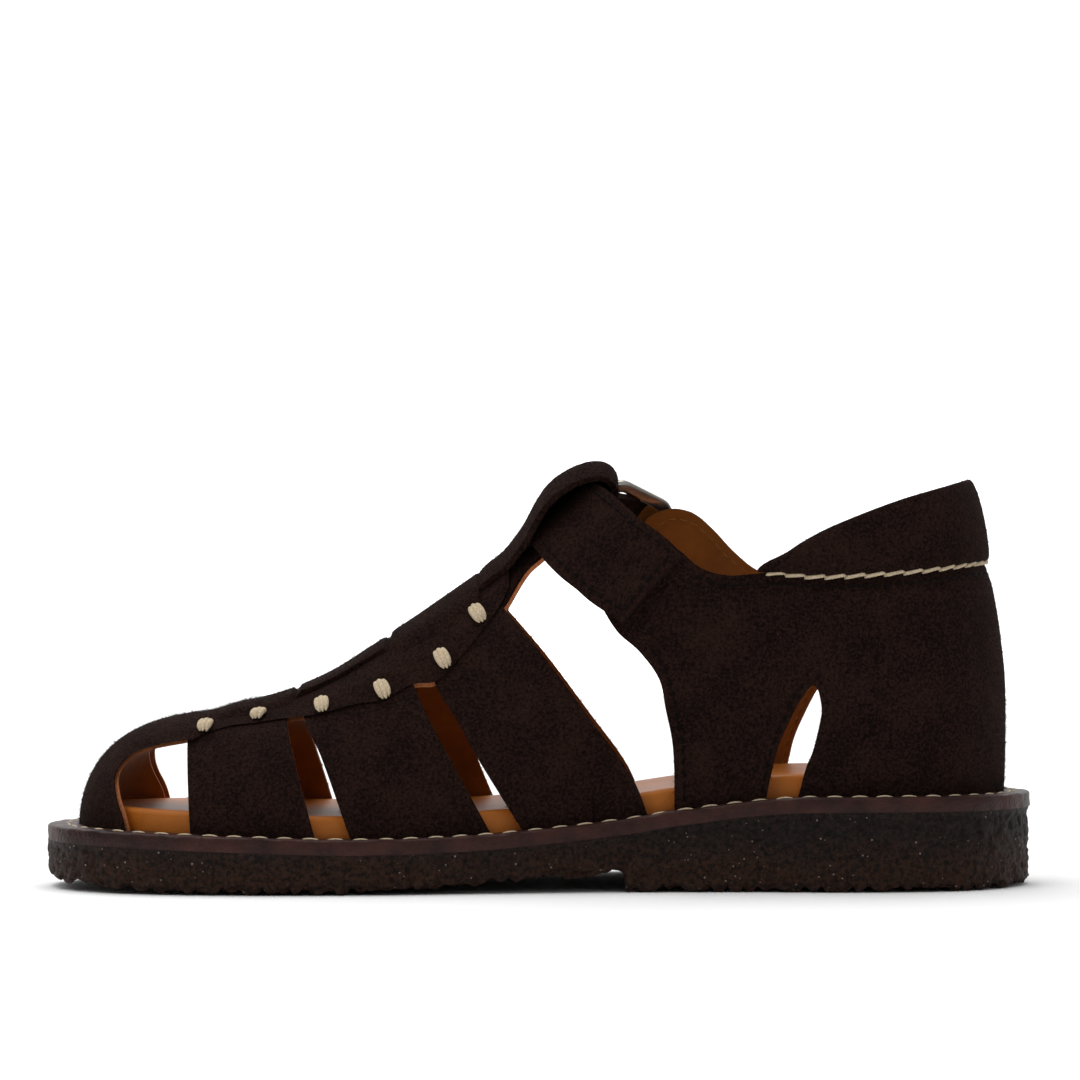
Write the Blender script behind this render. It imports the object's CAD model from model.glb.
"""A child's fisherman sandal in brushed suede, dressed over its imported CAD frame.

Metres. Toe at -X, heel at +X, medial side at -Y, floor at Z = 0.
"""
import math
import random

import bpy
from bpy.props import FloatProperty, PointerProperty, StringProperty
from mathutils import Matrix, Vector, noise


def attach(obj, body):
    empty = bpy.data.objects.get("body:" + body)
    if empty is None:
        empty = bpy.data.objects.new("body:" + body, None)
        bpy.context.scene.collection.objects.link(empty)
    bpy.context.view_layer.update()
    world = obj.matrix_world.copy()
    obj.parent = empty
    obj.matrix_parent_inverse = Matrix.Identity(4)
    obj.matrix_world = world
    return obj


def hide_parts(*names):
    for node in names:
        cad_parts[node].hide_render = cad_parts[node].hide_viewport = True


bl_info = {
    "name": "Fisherman sandal",
    "version": (1, 0, 0),
    "blender": (4, 5, 0),
    "location": "View3D > Sidebar > Sandal",
    "description": "Builds a suede fisherman sandal over its frame",
    "category": "Add Mesh",
}

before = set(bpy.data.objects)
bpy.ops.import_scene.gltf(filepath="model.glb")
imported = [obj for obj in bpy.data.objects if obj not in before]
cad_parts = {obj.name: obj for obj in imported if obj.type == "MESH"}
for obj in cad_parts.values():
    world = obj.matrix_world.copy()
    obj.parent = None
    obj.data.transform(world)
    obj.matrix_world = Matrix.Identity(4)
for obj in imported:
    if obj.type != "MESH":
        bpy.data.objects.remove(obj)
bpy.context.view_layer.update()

MM = 0.001

# The last and the sole, as shares of the named sizes, with the same meaning as in the frame.
# Outline of the sole: share of the length, medial and lateral half widths.
OUTLINE = [
    (0.0, 0.08, -0.08), (0.012, 0.24, 0.07), (0.04, 0.35, 0.2), (0.1, 0.45, 0.34),
    (0.2, 0.5, 0.45), (0.325, 0.49, 0.505), (0.45, 0.435, 0.495), (0.575, 0.385, 0.455),
    (0.7, 0.375, 0.42), (0.825, 0.39, 0.4), (0.925, 0.33, 0.34), (0.98, 0.18, 0.19),
    (1.0, 0.0, 0.0),
]
# Height of the seat and of the underside along the length.
SEAT = {
    "at": (0.0, 0.08, 0.17, 0.305, 0.37, 0.46, 0.58, 0.64, 0.735, 0.8, 1.0),
    "seat": (0.61, 0.58, 0.545, 0.497, 0.505, 0.56, 0.717, 0.836, 0.975, 1, 1),
    "under": (0.5, 0.2, 0, 0, 0.06, 0.5, 1, 1, 1, 1, 1),
}
# The last: inset of its feather line, ridge height, ridge shift, roundness and swell.
LAST = {
    "at": (0.0, 0.1, 0.19, 0.25, 0.295, 0.335, 0.375, 0.417, 0.459, 0.5, 0.55, 0.6, 0.65, 0.7,
           0.825, 1.0),
    "inset": (1.0, 0.83, 0.67, 0.6, 0.59, 0.59, 0.59, 0.59, 0.59, 0.59, 0.6, 0.6, 0.61, 0.62,
              0.7, 0.775),
    "ridge": (0.305, 0.326, 0.351, 0.397, 0.456, 0.532, 0.606, 0.686, 0.761, 0.847, 0.961, 1.114,
              1.236, 1.333, 1.343, 1.343),
    "shift": (-0.09, -0.09, -0.09, -0.09, -0.085, -0.08, -0.07, -0.06, -0.05, -0.035, -0.02,
              -0.01, 0, 0, 0, 0),
    "round": (2.7, 2.6, 2.4, 2.25, 2.15, 2.0, 1.85, 1.8, 1.8, 1.85, 1.95, 2.1, 2.15, 2.25, 2.25,
              2.25),
    "swell": (0, 0.01, 0.015, 0.015, 0.01, 0.01, 0.01, 0.01, 0.015, 0.02, 0.03, 0.03, 0.03,
              0.035, 0.045, 0.05),
}
TOE_CENTRE = 0.19
HEEL_CENTRE = 0.825
# The ridge of the forefoot as a share of the ball width; cutters of the two sides meet there.
MIDLINE = -0.09
# Angle in degrees from which the edges of cut leather are shaded crisp.
CRISP = 40
# Shares of the length: the collar's front end on the lateral side, and the joint of the welt.
COLLAR_FRONT = 0.733
WELT_JOINT = 0.7295
# How far the cutters rise above the sandal, as a share of the upper's height.
CLEAR_ABOVE = 1.6

# Openings seen from the side: share of the length, share of the upper's height over the heel.
TOE_HOLE_MEDIAL = [
    (0.0835, -0.01), (0.0775, 0.035), (0.0745, 0.105), (0.0885, 0.157), (0.11, 0.184),
    (0.1475, 0.206), (0.156, -0.16), (0.097, -0.16),
]
TOE_HOLE_LATERAL = [
    (0.119, -0.16), (0.108, 0.03), (0.1, 0.09), (0.0975, 0.13), (0.1, 0.168), (0.115, 0.194),
    (0.15, 0.202), (0.1505, 0.3), (0.18, 0.3), (0.19, -0.16),
]
FRONT_GAP = [
    (0.235, 0.4), (0.257, 0.38), (0.265, 0.26), (0.282, 0.164), (0.315, -0.09), (0.2795, -0.09),
    (0.246, 0.257),
]
MIDDLE_GAP = [
    (0.36, 0.5), (0.385, 0.5), (0.394, 0.37), (0.417, 0.261), (0.436, 0.163), (0.489, -0.08),
    (0.455, -0.08), (0.374, 0.356),
]
MIDDLE_GAP_LATERAL = [
    (0.4, 0.41), (0.413, 0.41), (0.436, 0.28), (0.455, 0.16), (0.495, -0.08), (0.463, -0.08),
    (0.449, 0.011), (0.435, 0.1086), (0.418, 0.25),
]
FRONT_GAP_SHIFT = 0.009
TEARDROP = [
    (0.7728, 0.36), (0.7765, 0.35), (0.781, 0.291), (0.779, 0.25), (0.772, 0.17), (0.766, 0.129),
    (0.759, 0.057), (0.752, -0.02), (0.724, -0.02), (0.7265, 0.05), (0.7325, 0.129),
    (0.7375, 0.184), (0.7475, 0.25), (0.759, 0.314), (0.7685, 0.352),
]
TEARDROP_SHIFT = 0.03
# Rear edge of the last strap, edges of the quarters, seam and top line of the collar.
STRAP_REAR = [(0.459, 0.593), (0.5065, 0.431), (0.551, 0.259), (0.594, 0.087), (0.612, -0.05)]
STRAP_REAR_LATERAL = [
    (0.459, 0.593), (0.5145, 0.431), (0.5605, 0.259), (0.5965, 0.087), (0.613, -0.05),
]
QUARTER_MEDIAL = [
    (0.6345, -0.05), (0.6325, 0.187), (0.6255, 0.291), (0.619, 0.376), (0.599, 0.456),
    (0.577, 0.513), (0.5535, 0.626), (0.606, 0.8), (0.6395, 0.745), (0.6595, 0.697),
    (0.6845, 0.674),
]
QUARTER_LATERAL = [
    (0.6495, -0.05), (0.647, 0.16), (0.6395, 0.29), (0.62, 0.416), (0.598, 0.52), (0.588, 0.6),
    (0.59, 0.7), (0.6, 0.79), (0.615, 0.845), (0.637, 0.868), (0.66, 0.855), (0.68, 0.81),
    (0.705, 0.735),
]
SEAM = {
    "at": (0.7315, 0.78, 0.875, 0.963, 1.1),
    "up": (0.68, 0.669, 0.684, 0.713, 0.74),
}
COLLAR_TOP = {
    "at": (0.7315, 0.745, 0.78, 0.8205, 0.8625, 0.905, 0.9475, 1.1),
    "up": (0.69, 0.735, 0.797, 0.847, 0.891, 0.926, 0.956, 1.0),
}
# How much further forward the collar starts on the medial side.
COLLAR_LEAD = 0.0145
# The lower edge of the central band seen from the side.
BAND_EDGE = [
    (0.15, 0.201), (0.165, 0.224), (0.218, 0.256), (0.255, 0.267), (0.31, 0.301), (0.344, 0.324),
    (0.374, 0.361), (0.3935, 0.37), (0.4065, 0.398), (0.4435, 0.523), (0.462, 0.596),
    (0.4685, 0.64),
]
# Where the tail runs under and over the band, and its half width.
TAIL_UNDER = [(0.172, 0.2515), (0.349, 0.4385)]
TAIL_OVER = (0.2535, 0.347)
TAIL_HALF = 0.115
# The ankle strap: lower and upper edge as station and side of the last, and lift off the quarter.
STRAP = {
    "at": (0, 0.14, 0.28, 0.4, 0.52, 0.63, 0.74, 0.87, 1),
    "low_at": (0.581, 0.541, 0.503, 0.483, 0.505, 0.5375, 0.575, 0.6095, 0.635),
    "low_side": (-0.647, -0.5, -0.3, 0, 0.26, 0.43, 0.575, 0.672, 0.725),
    "high_at": (0.6425, 0.5925, 0.556, 0.5545, 0.561, 0.5895, 0.619, 0.6505, 0.682),
    "high_side": (-0.61, -0.426, -0.15, 0.03, 0.21, 0.365, 0.49, 0.59, 0.655),
    "lift": (0, 0, 0, 0, 0, 0.1, 1.95, 1.3, 0.55),
}
# Places along the ankle strap: the buckle's two bars, the keeper and the tab.
FAR_BAR = 0.6
HINGE_BAR = 0.785
KEEPER = (0.9, 0.94)
TAB = (0.815, 0.88)
# The loop at the top of the tail: its middle line along the ridge, with the height off the last.
LOOP = [
    (0.438, 3.0), (0.446, 4.1), (0.466, 4.45), (0.484, 6.3), (0.497, 9.0), (0.507, 10.4),
    (0.517, 10.7), (0.53, 10.1), (0.5455, 8.4), (0.557, 6.3), (0.5665, 3.7), (0.574, 0.4),
    (0.5765, -1.75), (0.5745, -2.9), (0.571, -3.1), (0.566, -2.6), (0.561, -1.4), (0.555, 0.0),
    (0.549, 0.6), (0.54, 0.75), (0.525, 0.8), (0.5, 0.8), (0.478, 0.8), (0.462, 0.9),
]
# The heavy hand stitches along the band: station, height seen from the side, tilt in degrees.
HAND_STITCHES = [
    (0.1648, 0.247, -10), (0.2173, 0.279, -14), (0.2815, 0.308, 5), (0.3422, 0.351, 20),
    (0.402, 0.438, 24), (0.4368, 0.566, 27),
]
# Loose nap fibres for each square millimetre of suede.
NAP_DENSITY = 1.3


def length_of(name, description, default):
    """A property for a length in metres."""
    return FloatProperty(name=name, description=description, default=default, unit="LENGTH")


def colour_of(name, description, default):
    """A property for a colour as sRGB hex."""
    return StringProperty(name=name, description=description, default=default)


class SandalSizes(bpy.types.PropertyGroup):
    """The sizes that the sandal is built from."""

    sole_length: length_of("Sole length", "Length of the outsole", 0.2)
    ball_width: length_of("Ball width", "Width of the sole at the ball", 0.0775)
    upper_height: length_of("Upper height", "Height that the upper's shares refer to", 0.07)
    heel_seat: length_of("Heel seat", "Height of the sole under the heel", 0.0159)
    breast_height: length_of("Breast height", "Step in front of the heel", 0.0035)
    toe_margin: length_of("Toe margin", "Sole that shows in front of the last", 0.0097)
    suede: length_of("Suede", "Thickness of the suede", 0.0011)
    wall: length_of("Wall", "Thickness of suede and lining", 0.002)
    band_step: length_of("Band step", "Height of the band over the straps", 0.0012)
    tail_step: length_of("Tail step", "Height of the woven tail", 0.0012)
    strap: length_of("Strap", "Thickness of the ankle strap", 0.0024)
    welt: length_of("Welt", "Thickness of the welt", 0.003)
    footbed: length_of("Footbed", "Thickness of the footbed", 0.0075)
    welt_pitch: length_of("Welt stitch pitch", "Distance between welt stitches", 0.005)
    fine_pitch: length_of("Fine stitch pitch", "Distance between machine stitches", 0.00235)


class SandalColours(bpy.types.PropertyGroup):
    """The colours of the sandal as sRGB hex."""

    suede: colour_of("Suede", "Brushed suede", "#2e1e19")
    suede_dark: colour_of("Suede dark", "Nap laid down", "#110a09")
    lining: colour_of("Lining", "Tan lining", "#96591f")
    cut_edge: colour_of("Cut edge", "Raw edge", "#d98450")
    footbed: colour_of("Footbed", "Footbed leather", "#b96a1b")
    welt: colour_of("Welt", "Oiled welt leather", "#41221c")
    crepe: colour_of("Crepe", "Dark crepe", "#2c201c")
    crepe_warm: colour_of("Crepe low", "Worn crepe", "#43291b")
    thread: colour_of("Thread", "Waxed thread", "#d6c2a4")
    dark_thread: colour_of("Dark thread", "Brown thread", "#0b0706")
    tan_thread: colour_of("Tan thread", "Lining thread", "#9a6a34")
    steel: colour_of("Steel", "Satin steel", "#b4b0aa")
    floor: colour_of("Floor", "Studio floor", "#ffffff")


def to_linear(hex_colour):
    """Turns an sRGB hex colour into linear RGBA."""
    parts = [int(hex_colour[i:i + 2], 16) / 255 for i in (1, 3, 5)]
    return [p / 12.92 if p <= 0.04045 else ((p + 0.055) / 1.055) ** 2.4 for p in parts] + [1.0]


def smoothstep(value, low, high):
    """Eases from 0 at low to 1 at high."""
    u = min(1.0, max(0.0, (value - low) / (high - low)))
    return u * u * (3 - 2 * u)


def mix(a, b, u):
    """The value at share u between two others."""
    return a + (b - a) * u


def read(table, column, at):
    """Smooth reading of one column of a table at a share of the length."""
    ats, values = table["at"], table[column]
    if at <= ats[0]:
        return values[0]
    if at >= ats[-1]:
        return values[-1]
    i = next(k for k in range(len(ats)) if ats[k] > at) - 1

    def slope(k):
        before, after = max(k - 1, 0), min(k + 1, len(ats) - 1)
        return (values[after] - values[before]) / (ats[after] - ats[before])

    step = ats[i + 1] - ats[i]
    u = (at - ats[i]) / step
    bend = u * (1 - u) * step
    ease = u * u * (3 - 2 * u)
    turn = slope(i) * (1 - u) - slope(i + 1) * u
    return values[i] + (values[i + 1] - values[i]) * ease + bend * turn


def spline(points, closed, steps):
    """A centripetal curve through points, with steps pieces between each pair."""
    count = len(points)
    made = []
    spans = count if closed else count - 1
    for i in range(spans):
        p1, p2 = points[i], points[(i + 1) % count]
        p0 = points[i - 1] if closed or i > 0 else p1 * 2 - p2
        p3 = points[(i + 2) % count] if closed or i + 2 < count else p2 * 2 - p1
        d0, d1, d2 = [max((b - a).length, 1e-9) ** 0.5 for a, b in ((p0, p1), (p1, p2), (p2, p3))]
        t1 = ((p1 - p0) / d0 - (p2 - p0) / (d0 + d1) + (p2 - p1) / d1) * d1
        t2 = ((p2 - p1) / d1 - (p3 - p1) / (d1 + d2) + (p3 - p2) / d2) * d1
        for k in range(steps):
            t = k / steps
            cubic = (p1 * 2 - p2 * 2 + t1 + t2) * t ** 3
            square = (p2 * 3 - p1 * 3 - t1 * 2 - t2) * t ** 2
            made.append(p1 + t1 * t + square + cubic)
    if not closed:
        made.append(points[-1].copy())
    return made


def evenly(points, closed, count):
    """The same path with its points at equal distances."""
    path = points + points[:1] if closed else points
    lengths = [0.0]
    for a, b in zip(path, path[1:]):
        lengths.append(lengths[-1] + (b - a).length)
    made = []
    k = 0
    total = count if closed else count - 1
    for i in range(count):
        want = lengths[-1] * i / total
        while k < len(path) - 2 and lengths[k + 1] < want:
            k += 1
        span = max(lengths[k + 1] - lengths[k], 1e-12)
        made.append(path[k].lerp(path[k + 1], min(1.0, max(0.0, (want - lengths[k]) / span))))
    return made


def inset_by(ring, distance):
    """A plan ring moved inwards by a distance that depends on the place along the length."""
    made = []
    for i, p in enumerate(ring):
        along = (ring[(i + 1) % len(ring)] - ring[i - 1]).normalized()
        made.append(p + Vector((-along.y, along.x)) * distance(p.x))
    return made


def reach(ring, start, direction):
    """How far a plan ring lies from a point in a direction."""
    best = 0.0
    for i, p in enumerate(ring):
        a, b = p - start, ring[(i + 1) % len(ring)] - start
        ca = direction.x * a.y - direction.y * a.x
        cb = direction.x * b.y - direction.y * b.x
        if ca * cb > 0 or ca == cb:
            continue
        best = max(best, a.lerp(b, ca / (ca - cb)).dot(direction))
    return best


class Last:
    """The foot form that the upper is pulled over, from the same tables as the frame."""

    def __init__(self, sizes):
        self.length = sizes.sole_length
        self.ball = sizes.ball_width
        self.height = sizes.upper_height
        self.heel = sizes.heel_seat
        self.margin = sizes.toe_margin
        self.outline = self.sole_outline(360)
        self.feather = inset_by(self.outline, self.inset)

    def x_of(self, at):
        return (at - 0.5) * self.length

    def share(self, x):
        return x / self.length + 0.5

    def up_of(self, up):
        return self.heel + up * self.height

    def seat(self, x):
        return self.heel * read(SEAT, "seat", self.share(x))

    def inset(self, x):
        return self.margin * read(LAST, "inset", self.share(x))

    def ridge_side(self, x):
        return self.ball * read(LAST, "shift", self.share(x))

    def sole_outline(self, count):
        rim = [(at, -medial) for at, medial, lateral in OUTLINE]
        rim += [(at, lateral) for at, medial, lateral in reversed(OUTLINE[1:-1])]
        points = [Vector((self.x_of(at), side * self.ball)) for at, side in rim]
        ring = evenly(spline(points, True, 24), True, count)
        xs, ys = [p.x for p in ring], [p.y for p in ring]
        middle = Vector(((max(xs) + min(xs)) / 2, (max(ys) + min(ys)) / 2))
        return [p - middle for p in ring]

    def rib(self, at, angle):
        x = self.x_of(at)
        foot = Vector((x, self.ridge_side(x)))
        direction = Vector((math.cos(angle), math.sin(angle)))
        far = reach(self.feather, foot, direction)
        edge = self.share(foot.x + direction.x * far)
        return foot, direction, far, read(LAST, "round", edge), read(LAST, "swell", edge)

    def point(self, rib, t, offset):
        """A point of the last: t is 0 at the feather and 1 on the ridge, offset is outwards."""
        foot, direction, far, roundness, swell = rib
        out = max(0.0, math.cos(t * math.pi / 2)) ** (2 / roundness)
        up = max(0.0, math.sin(t * math.pi / 2)) ** (2 / roundness)
        bulge = 1 + swell * math.sin(math.pi * min(1.0, up / 0.55))
        plan = foot + direction * ((far * bulge + offset) * out)
        height = self.height * read(LAST, "ridge", self.share(plan.x)) + offset
        return Vector((plan.x, plan.y, self.seat(plan.x) + height * up))

    def side_point(self, at, side, offset):
        """A point by station and side, which is 0 on the ridge, -1 and 1 at the feather."""
        rib = self.rib(at, -math.pi / 2 if side < 0 else math.pi / 2)
        return self.point(rib, 1 - abs(side), offset)

    def at_height(self, rib, z, offset):
        """The point of a rib that lies at a height."""
        low, high = 0.0, 1.0
        for _ in range(18):
            t = (low + high) / 2
            if self.point(rib, t, offset).z < z:
                low = t
            else:
                high = t
        return self.point(rib, (low + high) / 2, offset)

    def ridge_point(self, at, across, offset):
        """A point near the ridge by its distance from the ridge line in plan."""
        rib = self.rib(at, -math.pi / 2 if across < 0 else math.pi / 2)
        out = min(1.0, abs(across) / (rib[2] + offset))
        return self.point(rib, math.acos(out ** (rib[3] / 2)) * 2 / math.pi, offset)

    def seen_at(self, at, up, side, offset):
        """The point of the last that the side view shows at a station and a height."""
        rib = self.rib(at, side * math.pi / 2)
        return self.at_height(rib, self.up_of(up), offset)


def deselect():
    """Leaves edit mode and nothing selected."""
    if bpy.context.object and bpy.context.object.mode != "OBJECT":
        bpy.ops.object.mode_set(mode="OBJECT")
    bpy.ops.object.select_all(action="DESELECT")


def pick(piece):
    """Makes a piece the only selected and active object."""
    deselect()
    piece.select_set(True)
    bpy.context.view_layer.objects.active = piece


def settle(piece, angle=35):
    """Smooths the shading of a piece, leaving its cut edges crisp."""
    pick(piece)
    bpy.ops.object.shade_smooth_by_angle(angle=math.radians(angle))
    deselect()


def apply(piece, kind, **settings):
    """Adds a modifier to a piece and applies it."""
    pick(piece)
    modifier = piece.modifiers.new(kind.title(), kind)
    for name, value in settings.items():
        setattr(modifier, name, value)
    bpy.ops.object.modifier_apply(modifier=modifier.name)
    deselect()


def wrap_grid(name, columns, rows, place, materials):
    """A grid primitive laid over a form: place gives the point for shares u along and v across."""
    deselect()
    bpy.ops.mesh.primitive_grid_add(x_subdivisions=columns, y_subdivisions=rows, size=2)
    piece = bpy.context.object
    piece.name = name
    piece.data.name = name
    for vertex in piece.data.vertices:
        vertex.co = place((vertex.co.x + 1) / 2, (vertex.co.y + 1) / 2)
    for material in materials:
        piece.data.materials.append(material)
    return piece


def nearest(rows, share):
    """The row of a list that is nearest to a share of its length."""
    return rows[min(len(rows) - 1, round(share * (len(rows) - 1)))]


def foot_core(last, x, height):
    """A point inside the foot at a station, a little over the seat."""
    return Vector((x, last.ridge_side(x), last.seat(x) + height))


def within_foot(last, x):
    """A place along the length moved to where the foot is whole."""
    return min(last.x_of(HEEL_CENTRE), max(last.x_of(TOE_CENTRE), x))


def face_outwards(piece, last):
    """Turns an open sheet so that its faces look away from the foot."""
    total = 0.0
    for face in piece.data.polygons:
        total += face.normal.dot(face.center - foot_core(last, face.center.x, 20 * MM))
    if total < 0:
        pick(piece)
        bpy.ops.object.mode_set(mode="EDIT")
        bpy.ops.mesh.select_all(action="SELECT")
        bpy.ops.mesh.flip_normals()
        deselect()


def weld(piece, distance=1e-6):
    """Merges doubled points and turns all faces outwards."""
    pick(piece)
    bpy.ops.object.mode_set(mode="EDIT")
    bpy.ops.mesh.select_all(action="SELECT")
    bpy.ops.mesh.remove_doubles(threshold=distance)
    bpy.ops.mesh.normals_make_consistent(inside=False)
    deselect()


def side_prism(loop, start, end):
    """A cutter along Y from a side-view loop, whose faces take the third material slot."""
    deselect()
    bpy.ops.mesh.primitive_circle_add(vertices=len(loop), fill_type="NGON")
    piece = bpy.context.object
    piece.name = "cutter"
    for vertex, point in zip(piece.data.vertices, loop):
        vertex.co = Vector((point.x, start, point.y))
    bpy.ops.object.mode_set(mode="EDIT")
    bpy.ops.mesh.select_all(action="SELECT")
    bpy.ops.mesh.extrude_region_move(TRANSFORM_OT_translate={"value": (0, end - start, 0)})
    bpy.ops.mesh.select_all(action="SELECT")
    bpy.ops.mesh.normals_make_consistent(inside=False)
    deselect()
    for face in piece.data.polygons:
        face.material_index = 2
    return piece


def cut(piece, tool, operation="DIFFERENCE"):
    """Cuts a piece with a tool, which gives its material slot to the cut faces."""
    for material in piece.data.materials:
        tool.data.materials.append(material)
    apply(piece, "BOOLEAN", operation=operation, object=tool, solver="EXACT")
    bpy.data.objects.remove(tool)


def grown(points, distance):
    """A side-view loop whose edge is moved outwards by a distance."""
    turn = sum(a.x * b.y - b.x * a.y for a, b in zip(points, points[1:] + points[:1]))
    sign = 1 if turn > 0 else -1
    made = []
    for i, p in enumerate(points):
        along = (points[(i + 1) % len(points)] - points[i - 1]).normalized()
        made.append(p + Vector((along.y, -along.x)) * (sign * distance))
    return made


def side_loop(last, rows, corners):
    """The smooth outline of an opening seen from the side; corners are the rows left sharp."""
    flat = [Vector((last.x_of(at), last.up_of(up))) for at, up in rows]
    made = []
    for i, start in enumerate(corners):
        end = corners[(i + 1) % len(corners)]
        count = (end - start) % len(flat) or len(flat)
        stretch = [flat[(start + k) % len(flat)] for k in range(count + 1)]
        made += spline(stretch, False, 6 if count > 1 else 1)[:-1]
    return made


def creases(point, height, size):
    """Shallow waves left in soft leather after lasting."""
    spot = Vector(point) / size
    return height * noise.noise(spot)


def add_node(tree, kind, inputs=(), **settings):
    """Adds a node, sets its properties, and sets or links its inputs."""
    made = tree.nodes.new(kind)
    for name, value in settings.items():
        setattr(made, name, value)
    for name, value in dict(inputs).items():
        if isinstance(value, bpy.types.NodeSocket):
            tree.links.new(value, made.inputs[name])
        else:
            made.inputs[name].default_value = value
    return made


def new_material(name):
    """An empty node material and its principled shader."""
    material = bpy.data.materials.new(name)
    material.use_nodes = True
    tree = material.node_tree
    return material, tree, tree.nodes["Principled BSDF"]


def set_ramp(ramp, stops):
    """Gives a colour ramp its stops of position and linear colour."""
    while len(ramp.color_ramp.elements) < len(stops):
        ramp.color_ramp.elements.new(0.5)
    for element, (position, colour) in zip(ramp.color_ramp.elements, stops):
        element.position = position
        element.color = colour


def two_tones(tree, pattern, colour, darker, low, high):
    """A colour that goes down to a share of itself where the pattern is low."""
    tone = add_node(tree, "ShaderNodeValToRGB", {"Fac": pattern.outputs[0]})
    base = to_linear(colour)
    set_ramp(tone, [(low, [part * darker for part in base[:3]] + [1.0]), (high, base)])
    return tone.outputs["Color"]


def specks(tree, place, size, channel, least, widest):
    """Round specks of several sizes in some cells of a pattern, and the cells' own colours."""
    cells = add_node(tree, "ShaderNodeTexVoronoi", {"Vector": place, "Scale": 1 / size})
    pick_out = add_node(tree, "ShaderNodeSeparateColor", {"Color": cells.outputs["Color"]})
    width = add_node(tree, "ShaderNodeMapRange", {
        "Value": pick_out.outputs[channel], "From Min": least, "From Max": 1.0, "To Min": 0.0,
        "To Max": widest})
    near = add_node(tree, "ShaderNodeMath", {
        0: cells.outputs["Distance"], 1: width.outputs[0]}, operation="LESS_THAN")
    return near.outputs[0], cells.outputs["Color"]


def surface(tree, shader, colour, height, strength, depth, values):
    """Gives a shader its colour, a bump of a depth in metres and its other values."""
    bump = add_node(tree, "ShaderNodeBump", {
        "Height": height, "Strength": strength, "Distance": depth})
    tree.links.new(colour, shader.inputs["Base Color"])
    tree.links.new(bump.outputs["Normal"], shader.inputs["Normal"])
    for name, value in values.items():
        shader.inputs[name].default_value = value


def brushed_suede(colours):
    """Cow suede, split and brushed: matt, with a nap that lies in lighter and darker patches."""
    material, tree, shader = new_material("suede_split_brushed")
    place = add_node(tree, "ShaderNodeTexCoord").outputs["Object"]
    # Nap fibres are about 0.1 mm; drawn at 0.55 mm so that they show.
    nap = add_node(tree, "ShaderNodeTexNoise", {
        "Vector": place, "Scale": 1 / (0.55 * MM), "Detail": 4.0, "Roughness": 0.7})
    patch = add_node(tree, "ShaderNodeTexNoise", {
        "Vector": place, "Scale": 1 / (9 * MM), "Detail": 4.0, "Roughness": 0.6})
    nap_weight = 3.5
    blend = add_node(tree, "ShaderNodeMath", {
        0: nap.outputs[0], 1: nap_weight, 2: patch.outputs[0]}, operation="MULTIPLY_ADD")
    share = add_node(tree, "ShaderNodeMath", {0: blend.outputs[0], 1: 1 / (nap_weight + 1)},
                     operation="MULTIPLY")
    tone = add_node(tree, "ShaderNodeValToRGB", {"Fac": share.outputs[0]})
    set_ramp(tone, [(0.41, to_linear(colours.suede_dark)), (0.59, to_linear(colours.suede))])
    # Loose pale fibres and dust, about 0.1 mm across and several millimetres apart.
    dust, _ = specks(tree, place, 1.7 * MM, 0, 0.75, 0.06)
    dusty = add_node(tree, "ShaderNodeMixRGB", {
        "Fac": dust, "Color1": tone.outputs["Color"], "Color2": to_linear("#5e4c42")})
    surface(tree, shader, dusty.outputs[0], nap.outputs[0], 0.9, 0.45 * MM, {
        "Roughness": 0.95, "Specular IOR Level": 0.04, "Sheen Weight": 0.03,
        "Sheen Roughness": 0.5, "Sheen Tint": to_linear("#8a6a5a")})
    return material


def smooth_leather(name, colour, pore, depth, darker, gloss):
    """Vegetable-tanned leather, rolled smooth: an even colour with fine pores."""
    material, tree, shader = new_material(name)
    place = add_node(tree, "ShaderNodeTexCoord").outputs["Object"]
    pores = add_node(tree, "ShaderNodeTexVoronoi", {"Vector": place, "Scale": 1 / pore})
    cloud = add_node(tree, "ShaderNodeTexNoise", {
        "Vector": place, "Scale": 1 / (7 * MM), "Detail": 5.0, "Roughness": 0.6})
    tone = two_tones(tree, cloud, colour, darker, 0.3, 0.7)
    surface(tree, shader, tone, pores.outputs["Distance"], 0.4, depth,
            {"Roughness": 0.5, "Specular IOR Level": gloss})
    return material


def cut_leather(colours):
    """The raw edge of tan leather: fibrous and dry, with darker and lighter fibres."""
    material, tree, shader = new_material("leather_edge_cut")
    place = add_node(tree, "ShaderNodeTexCoord").outputs["Object"]
    fibres = add_node(tree, "ShaderNodeTexNoise", {
        "Vector": place, "Scale": 1 / (0.5 * MM), "Detail": 4.0, "Roughness": 0.7})
    tone = two_tones(tree, fibres, colours.cut_edge, 0.55, 0.3, 0.6)
    surface(tree, shader, tone, fibres.outputs[0], 0.5, 0.3 * MM, {"Roughness": 0.85})
    return material


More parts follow.
